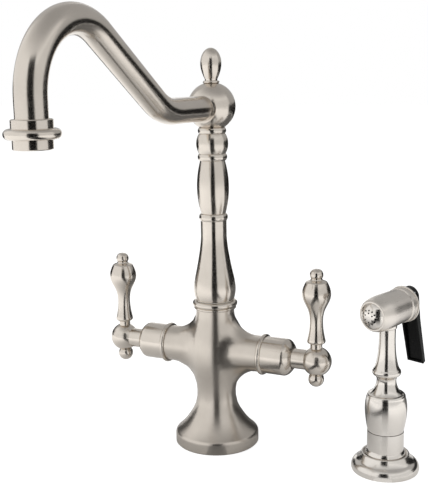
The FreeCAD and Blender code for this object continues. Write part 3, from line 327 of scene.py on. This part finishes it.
# %% [markdown]
# ## The swan-neck tube
# The real tube is one length of round brass pipe, bent level, then up, over a tall crown and straight
# down. A shape that is the same circle all along a path is best swept: the script writes the path from
# its few real sizes, and Geometry Nodes carry a circle along it. The radius and the number of sides
# stay as named inputs, so the pipe can be made thicker or smoother in one place.

# %% Path of the tube
tube_radius, tube_sides = mm(9.94), 96
rise_steps, crown_steps = 32, 96

def tube_path():
    level, first_run, rise_radius, crown_radius, drop = (
        mm(v) for v in (283.8, 64.6, 51.2, 46.55, 16.0))
    inner_end, past_the_hub = mm(9.0), mm(36.0)
    angle = math.radians(33.4)
    slope = (spout_reach - first_run - rise_radius * math.sin(angle)
             - crown_radius * (1 + math.sin(angle))) / math.cos(angle)
    points = [(inner_end, level), (past_the_hub, level)]
    for step in range(rise_steps + 1):
        turn = angle * step / rise_steps
        points.append((first_run + rise_radius * math.sin(turn),
                       level + rise_radius * (1 - math.cos(turn))))
    crown_start = (points[-1][0] + slope * math.cos(angle),
                   points[-1][1] + slope * math.sin(angle))
    points.append(tuple((a + b) / 2 for a, b in zip(points[-1], crown_start)))
    middle = (crown_start[0] + crown_radius * math.sin(angle),
              crown_start[1] - crown_radius * math.cos(angle))
    for step in range(crown_steps + 1):
        turn = -angle + (angle + math.pi / 2) * step / crown_steps
        points.append((middle[0] + crown_radius * math.sin(turn),
                       middle[1] + crown_radius * math.cos(turn)))
    points.append((points[-1][0], points[-1][1] - drop))
    return [(0.0, -reach, height) for reach, height in points]

path_points = tube_path()
print("the tube's path has", len(path_points), "points and ends at", path_points[-1])

# %% Sweep the tube with Geometry Nodes
def tree_input(tree, name, kind, value):
    socket = tree.interface.new_socket(name, in_out="INPUT", socket_type=kind)
    if value is not None:
        socket.default_value = value
    return socket.identifier

def pipe_tree():
    tree = bpy.data.node_groups.new("bent_pipe", "GeometryNodeTree")
    tree_input(tree, "Geometry", "NodeSocketGeometry", None)
    names = {"radius": tree_input(tree, "Pipe radius", "NodeSocketFloat", tube_radius),
             "sides": tree_input(tree, "Sides", "NodeSocketInt", tube_sides),
             "finish": tree_input(tree, "Finish", "NodeSocketMaterial", None)}
    tree.interface.new_socket("Geometry", in_out="OUTPUT", socket_type="NodeSocketGeometry")
    given = add_node(tree, "NodeGroupInput")
    path = add_node(tree, "GeometryNodeMeshToCurve", links={"Mesh": given.outputs["Geometry"]})
    ring = add_node(tree, "GeometryNodeCurvePrimitiveCircle",
                     links={"Resolution": given.outputs["Sides"], "Radius": given.outputs["Pipe radius"]})
    pipe = add_node(tree, "GeometryNodeCurveToMesh", values={"Fill Caps": True},
                     links={"Curve": path.outputs[0], "Profile Curve": ring.outputs["Curve"]})
    smooth = add_node(tree, "GeometryNodeSetShadeSmooth", links={0: pipe.outputs[0]})
    real = add_node(tree, "GeometryNodeRealizeInstances", links={0: smooth.outputs[0]})
    done = add_node(tree, "GeometryNodeSetMaterial",
                     links={"Geometry": real.outputs[0], "Material": given.outputs["Finish"]})
    add_node(tree, "NodeGroupOutput", links={0: done.outputs[0]})
    return tree, names

def grown(name, start_mesh, tree, settings):
    holder = bpy.data.objects.new(name, start_mesh)
    bpy.context.scene.collection.objects.link(holder)
    grow = holder.modifiers.new("grow", "NODES")
    grow.node_group = tree
    for identifier, value in settings.items():
        grow[identifier] = value
    bpy.context.view_layer.update()
    finished = holder.evaluated_get(bpy.context.evaluated_depsgraph_get())
    mesh = bpy.data.meshes.new_from_object(finished)
    holder.modifiers.remove(grow)
    holder.data = mesh
    mesh.name = name
    return holder

path_mesh = bpy.data.meshes.new("tube_path")
path_mesh.from_pydata(path_points, [(i, i + 1) for i in range(len(path_points) - 1)], [])
pipe, pipe_inputs = pipe_tree()
swan_neck = grown("swan_neck_tube", path_mesh, pipe,
                  {pipe_inputs["radius"]: tube_radius, pipe_inputs["sides"]: tube_sides,
                   pipe_inputs["finish"]: satin_on_tube})
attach(swan_neck, "spout")
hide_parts("spout_tube")
print("swan neck:", len(swan_neck.data.polygons), "faces")

# %% [markdown]
# ## The sprayer's pieces
# The sprayer is plated in the same nickel but hardly brushed, so it is brighter and shinier than the
# faucet. Its trigger is the one plastic piece that shows.

# %% Sprayer skins
for node in ("sprayer_flange", "sprayer_guide"):
    smooth_skin(node, "faucet_body", bright_on_sprayer)
for node in ("sprayer_grip", "sprayer_neck"):
    smooth_skin(node, "sprayer", bright_on_sprayer)
for node in ("sprayer_head", "sprayer_rear_ring"):
    smooth_skin(node, "sprayer", bright_on_head)
spray_plate = smooth_skin("spray_face", "sprayer", bright_on_face)
smooth_skin("sprayer_trigger", "trigger", moulded_abs)
print("sprayer skins made")

# %% [markdown]
# ## The spray holes
# The water comes out of eighteen small holes in a domed plate. The shade inside them is painted: the faces
# that line the holes get the black finish, found by their place and direction, and a thin black dish goes
# behind the plate as painted shade behind the holes, so they look black.

# %% Painted shade: black hole walls and a black dish behind them
head_middle = sprayer_foot + Vector((0, 0, head_height))
head_ahead = Vector((-math.sin(sprayer_turn) * math.cos(head_tilt),
                     -math.cos(sprayer_turn) * math.cos(head_tilt), -math.sin(head_tilt)))
hole_field_radius = mm(7.5)
wall_slant = 0.25           # a hole's wall faces across the head's axis, within this much
# The black finish on the hole walls is painted shade inside the holes.
spray_plate.data.materials.append(moulded_abs)
painted_shade_faces = 0
for face in spray_plate.data.polygons:
    arm = face.center - head_middle
    off_axis = (arm - head_ahead * arm.dot(head_ahead)).length
    if off_axis < hole_field_radius and abs(face.normal.dot(head_ahead)) < wall_slant:
        face.material_index = 1
        painted_shade_faces += 1
print("faces inside the spray holes:", painted_shade_faces)

def painted_shade_dish(reach, radius, depth, thickness, sides=64, rings=8):
    across = Vector((0, 0, 1)).cross(head_ahead).normalized()
    upward = head_ahead.cross(across)
    shape = bmesh.new()
    layers = []
    for lift in (0.0, -thickness):
        layer = []
        for ring in range(1, rings + 1):
            share = ring / rings
            bulge = depth * (1 - share ** 2) + lift
            layer.append([shape.verts.new(head_middle + head_ahead * (reach + bulge)
                                          + (across * math.cos(2 * math.pi * i / sides)
                                             + upward * math.sin(2 * math.pi * i / sides)) * radius * share)
                          for i in range(sides)])
        tip = shape.verts.new(head_middle + head_ahead * (reach + depth + lift))
        for i in range(sides):
            shape.faces.new((tip, layer[0][i], layer[0][(i + 1) % sides]))
        layers.append(layer)
    for layer in layers:
        for inner, outer in zip(layer, layer[1:]):
            for i in range(sides):
                j = (i + 1) % sides
                shape.faces.new((inner[i], outer[i], outer[j], inner[j]))
    for i in range(sides):
        j = (i + 1) % sides
        shape.faces.new((layers[0][-1][i], layers[1][-1][i], layers[1][-1][j], layers[0][-1][j]))
    bmesh.ops.recalc_face_normals(shape, faces=shape.faces)
    mesh = bpy.data.meshes.new("spray_strainer")
    shape.to_mesh(mesh)
    shape.free()
    mesh.materials.append(moulded_abs)
    return mesh

# The black dish behind the plate is painted shade behind the holes.
black_shade_dish = bpy.data.objects.new("spray_strainer", painted_shade_dish(
    reach=mm(18.6), radius=mm(8.4), depth=mm(3.6), thickness=mm(0.4)))
bpy.context.scene.collection.objects.link(black_shade_dish)
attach(black_shade_dish, "sprayer")
print("strainer:", len(black_shade_dish.data.polygons), "faces")

# %% [markdown]
# ## The pieces inside and below the counter
# Washers, nuts, discs and seals keep their CAD shape as it is. They only need the right finish, set on
# the object's own material slot so that the mesh stays untouched.

# %% Finishes for the hidden pieces
finish_of_slot = {"raw_brass": turned_brass, "plain_steel": zinc_steel, "black_rubber": nitrile_rubber,
                  "black_plastic": moulded_abs, "white_plastic": moulded_acetal,
                  "white_ceramic": lapped_ceramic, "satin_nickel": satin_on_post,
                  "bright_nickel": bright_on_head}
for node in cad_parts.values():
    for place_in_mesh in node.material_slots:
        slot_name = place_in_mesh.material.name.split(".")[0]
        place_in_mesh.link = "OBJECT"
        place_in_mesh.material = finish_of_slot[slot_name]
print("finished", len(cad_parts), "CAD nodes")

# %% [markdown]
# ## The studio
# Shiny metal shows the room more than itself, so the room decides how it looks. The usual way to light
# such a piece is a white tent with grey and black cards. The white gives the metal its own colour, and a
# black card where the camera stands draws the dark line down the middle of every turned piece. Two low
# dark cards behind the object draw its dark edges, with paler ones above them, and a pale card to the
# right and one overhead keep those sides quieter than the bright left. On the table lie two dark fans,
# which carry the camera card's dark line down to the foot of each piece, and a grey sheet behind for
# the object's own shade. The overhead card and the fans fade to white, so no hard edge is mirrored.
# All cards are seen only in reflections.

# %% Cards
camera_azimuth = math.radians(26.39)
camera_card_left, camera_card_right = -17, 14       # degrees to either side of the camera
camera_card_distance = 0.6
low_card_top = 0.36
tent_top = 1.7
overhead_half_width = 4.0
fan_lift, sheet_lift = mm(0.2), mm(0.1)             # above the table, so that no two cards coincide
sheet_reach = 0.85
card_step = 3                                       # degrees that one flat of a curved card spans

def card_paint(name, tone, fade=None):
    """A plain tone, or one that fades to white between two distances from a place: (place, from, to)."""
    paint = bpy.data.materials.new(name + "_paint")
    paint.use_nodes = True
    tree = paint.node_tree
    tree.nodes.clear()
    out = add_node(tree, "ShaderNodeOutputMaterial")
    glow = add_node(tree, "ShaderNodeEmission", values={"Color": linear(tone), "Strength": 1.0})
    if fade:
        middle, start, end = fade
        place = add_node(tree, "ShaderNodeTexCoord").outputs["Object"]
        distance = add_node(tree, "ShaderNodeVectorMath", {"operation": "DISTANCE"}, {1: middle},
                            {0: place})
        away = add_node(tree, "ShaderNodeMapRange", {"interpolation_type": "SMOOTHSTEP"},
                        {"From Min": start, "From Max": end}, {"Value": distance.outputs["Value"]})
        shade = add_node(tree, "ShaderNodeMix", {"data_type": "RGBA"},
                         {mix_first: linear(tone), mix_second: linear("#FFFFFF")},
                         {0: away.outputs[0]})
        tree.links.new(shade.outputs[mix_result], glow.inputs["Color"])
    tree.links.new(glow.outputs[0], out.inputs["Surface"])
    return paint

def set_up_card(name, corners, faces, tone, fade=None):
    mesh = bpy.data.meshes.new(name)
    mesh.from_pydata(corners, [], faces)
    mesh.materials.append(card_paint(name, tone, fade))
    sheet = bpy.data.objects.new(name, mesh)
    bpy.context.scene.collection.objects.link(sheet)
    sheet.visible_camera = False
    sheet.visible_diffuse = False
    sheet.visible_shadow = False
    sheet.visible_transmission = False

def beside_camera(right, forward, height):
    """A place given as steps to the camera's right and away from it, in metres."""
    return (right * math.cos(camera_azimuth) - forward * math.sin(camera_azimuth),
            right * math.sin(camera_azimuth) + forward * math.cos(camera_azimuth), height)

def curved_card(name, from_angle, to_angle, distance, low, high, tone):
    steps = max(2, int(abs(to_angle - from_angle) / card_step))
    corners = []
    for step in range(steps + 1):
        turn = math.radians(from_angle + (to_angle - from_angle) * step / steps)
        for height in (low, high):
            corners.append(beside_camera(distance * math.sin(turn), -distance * math.cos(turn),
                                         height))
    faces = [(2 * i, 2 * i + 2, 2 * i + 3, 2 * i + 1) for i in range(steps)]
    set_up_card(name, corners, faces, tone)

def flat_card(name, left, right, near, far, height, tone, fade=None):
    corners = [beside_camera(x, y, height)
               for x, y in ((left, near), (right, near), (right, far), (left, far))]
    set_up_card(name, corners, [(0, 1, 2, 3)], tone, fade)

# Each card stands from one angle to another beside the camera, at a distance, from a low to a high edge.
curved_card("camera_card", camera_card_left, camera_card_right, camera_card_distance, 0.0, 0.66,
            "#040404")
curved_card("right_card", 10, 100, 2.4, -0.1, 1.5, "#E4E4E4")
curved_card("back_right_card", 88, 162, 0.9, 0.0, low_card_top, "#141414")
curved_card("back_left_card", -168, -114, 0.9, 0.0, low_card_top, "#141414")
curved_card("upper_back_right_card", 95, 176, 0.95, low_card_top, tent_top, "#B4B4B4")
curved_card("upper_back_left_card", -176, -125, 0.95, low_card_top, tent_top, "#C4C4C4")
flat_card("overhead_card", -overhead_half_width, overhead_half_width, -overhead_half_width,
          overhead_half_width, tent_top, "#AEAEAE", (beside_camera(0.5, 0.2, tent_top), 0.5, 2.4))

card_foot = beside_camera(0.0, -camera_card_distance, 0.0)

def on_the_table(angle, distance, lift):
    turn = math.radians(angle)
    return beside_camera(distance * math.sin(turn), -distance * math.cos(turn), lift)

def fan_card(name, foot, tone, start, end):
    """A dark sheet on the table, from the foot of a piece to the foot of the camera card, darkest there."""
    ends = [on_the_table(angle, camera_card_distance, fan_lift)
            for angle in (camera_card_left, camera_card_right)]
    set_up_card(name, [(foot[0], foot[1], fan_lift), *ends], [(0, 1, 2)], tone, (card_foot, start, end))

fan_card("faucet_fan_card", (0.0, 0.0), "#1C1C1C", 0.3, 1.2)
fan_card("sprayer_fan_card", (sprayer_foot.x, sprayer_foot.y), "#1C1C1C", 0.26, 0.62)
shadow_edge = [on_the_table(angle, sheet_reach, sheet_lift) for angle in range(95, 171, 5)]
set_up_card("table_shadow_card", [(0.0, 0.0, sheet_lift), *shadow_edge],
            [(0, i, i + 1) for i in range(1, len(shadow_edge))], "#6E6E6E")

# %% [markdown]
# ## Floor, world and lamps
# The background is white because the world's strength is 1 for the rays that the camera, the shiny
# metal and any clear part send out. Everything else gets a lower level from the world and the rest
# from two large soft lamps, so the floor keeps a soft shadow. The floor adds the missing part of white
# where the camera looks at it. For what the metal mirrors it adds that white only little by little with
# distance from the faucet, so that the table close by stays darker in the metal.

# %% White world
shaded_level = 0.5          # what the tent gives to rays other than those three

world = bpy.data.worlds.new("white_tent")
bpy.context.scene.world = world
world.use_nodes = True
tent = world.node_tree.nodes["Background"]
rays = add_node(world.node_tree, "ShaderNodeLightPath")
seen = add_node(world.node_tree, "ShaderNodeMath", {"operation": "MAXIMUM"},
                links={0: rays.outputs["Is Camera Ray"], 1: rays.outputs["Is Glossy Ray"]})
shown = add_node(world.node_tree, "ShaderNodeMath", {"operation": "MAXIMUM"},
                 links={0: seen.outputs[0], 1: rays.outputs["Is Transmission Ray"]})
level = add_node(world.node_tree, "ShaderNodeMapRange",
                 values={"To Min": shaded_level, "To Max": 1.0},
                 links={"Value": shown.outputs[0]})
tent.inputs["Color"].default_value = (1, 1, 1, 1)
world.node_tree.links.new(level.outputs[0], tent.inputs["Strength"])

# %% Floor
floor_top_up = 0.8
mirror_fade = (-0.05, 0.4)      # metres from the faucet over which the mirrored top-up grows
floor_half_width = 8.0
floor_sink = mm(-0.05)          # the floor and the faucet's foot share no plane

def pale_floor():
    paper = bpy.data.materials.new("white_paper_floor")
    paper.use_nodes = True
    tree = paper.node_tree
    tree.nodes.clear()
    out = add_node(tree, "ShaderNodeOutputMaterial")
    matt = add_node(tree, "ShaderNodeBsdfDiffuse", values={"Color": linear("#B8B8B8")})
    ray = add_node(tree, "ShaderNodeLightPath")
    mirrored = add_node(tree, "ShaderNodeMath", {"operation": "MAXIMUM"},
                        links={0: ray.outputs["Is Glossy Ray"], 1: ray.outputs["Is Transmission Ray"]})
    place = add_node(tree, "ShaderNodeTexCoord").outputs["Object"]
    distance = add_node(tree, "ShaderNodeVectorMath", {"operation": "LENGTH"}, links={0: place})
    away = add_node(tree, "ShaderNodeMapRange", {"interpolation_type": "SMOOTHSTEP"},
                    {"From Min": mirror_fade[0], "From Max": mirror_fade[1]},
                    {"Value": distance.outputs["Value"]})
    far_mirrored = add_node(tree, "ShaderNodeMath", {"operation": "MULTIPLY"},
                            links={0: mirrored.outputs[0], 1: away.outputs[0]})
    clean = add_node(tree, "ShaderNodeMath", {"operation": "MAXIMUM"},
                     links={0: ray.outputs["Is Camera Ray"], 1: far_mirrored.outputs[0]})
    top_up = add_node(tree, "ShaderNodeMapRange", values={"To Min": 0.0, "To Max": floor_top_up},
                      links={"Value": clean.outputs[0]})
    glow = add_node(tree, "ShaderNodeEmission", values={"Color": (1, 1, 1, 1)},
                    links={"Strength": top_up.outputs[0]})
    both = add_node(tree, "ShaderNodeAddShader", links={0: matt.outputs[0], 1: glow.outputs[0]})
    tree.links.new(both.outputs[0], out.inputs["Surface"])
    half = floor_half_width
    mesh = bpy.data.meshes.new("floor")
    mesh.from_pydata([(-half, -half, 0), (half, -half, 0), (half, half, 0), (-half, half, 0)], [],
                     [(0, 1, 2, 3)])
    mesh.materials.append(paper)
    floor = bpy.data.objects.new("floor", mesh)
    floor.location.z = floor_sink
    bpy.context.scene.collection.objects.link(floor)

pale_floor()

# %% Soft lamps
lamps_aim_at = Vector((0, 0, 0.15))

def soft_lamp(name, place, width, power):
    lamp = bpy.data.lights.new(name, "AREA")
    lamp.shape = "SQUARE"
    lamp.size = width
    lamp.energy = power
    holder = bpy.data.objects.new(name, lamp)
    holder.location = place
    holder.rotation_euler = (lamps_aim_at - Vector(place)).to_track_quat("-Z", "Y").to_euler()
    holder.visible_glossy = False
    holder.visible_camera = False
    bpy.context.scene.collection.objects.link(holder)

soft_lamp("soft_lamp_left", (-1.9, -1.2, 1.6), 1.6, 34.0)
soft_lamp("soft_lamp_right", (1.8, -1.0, 1.8), 1.8, 12.0)

# %% [markdown]
# ## The camera
# It stands where the photographer stood: in front and to the right, about 0.72 m from the faucet's
# post, a little above the sprayer's head and tipped down, with a hair of roll.

# %% Camera
eye = Vector((mm(321.98), mm(-648.91), mm(308.7)))
pitch = math.radians(10.6)
roll = math.radians(-1.02)
focal_length_in_pixels = 887.08
picture_width_in_pixels = 428.0
sensor_width = 36.0         # millimetres, as Blender's lenses count
ahead = Vector((-math.sin(camera_azimuth) * math.cos(pitch),
                math.cos(camera_azimuth) * math.cos(pitch), -math.sin(pitch)))
side = Vector((math.cos(camera_azimuth), math.sin(camera_azimuth), 0))
top = side.cross(ahead)
frame_side = side * math.cos(roll) + top * math.sin(roll)
frame_top = -side * math.sin(roll) + top * math.cos(roll)
turn = Matrix((frame_side, frame_top, -ahead)).transposed()
lens_data = bpy.data.cameras.new("camera")
lens_data.sensor_fit = "HORIZONTAL"
lens_data.sensor_width = sensor_width
lens_data.lens = focal_length_in_pixels / picture_width_in_pixels * sensor_width
lens_data.clip_start = mm(10.0)
camera = bpy.data.objects.new("camera", lens_data)
camera.matrix_world = Matrix.Translation(eye) @ turn.to_4x4()
bpy.context.scene.collection.objects.link(camera)
bpy.context.scene.camera = camera
bpy.context.scene.view_settings.view_transform = "Standard"
print("lens", round(lens_data.lens, 2), "mm")
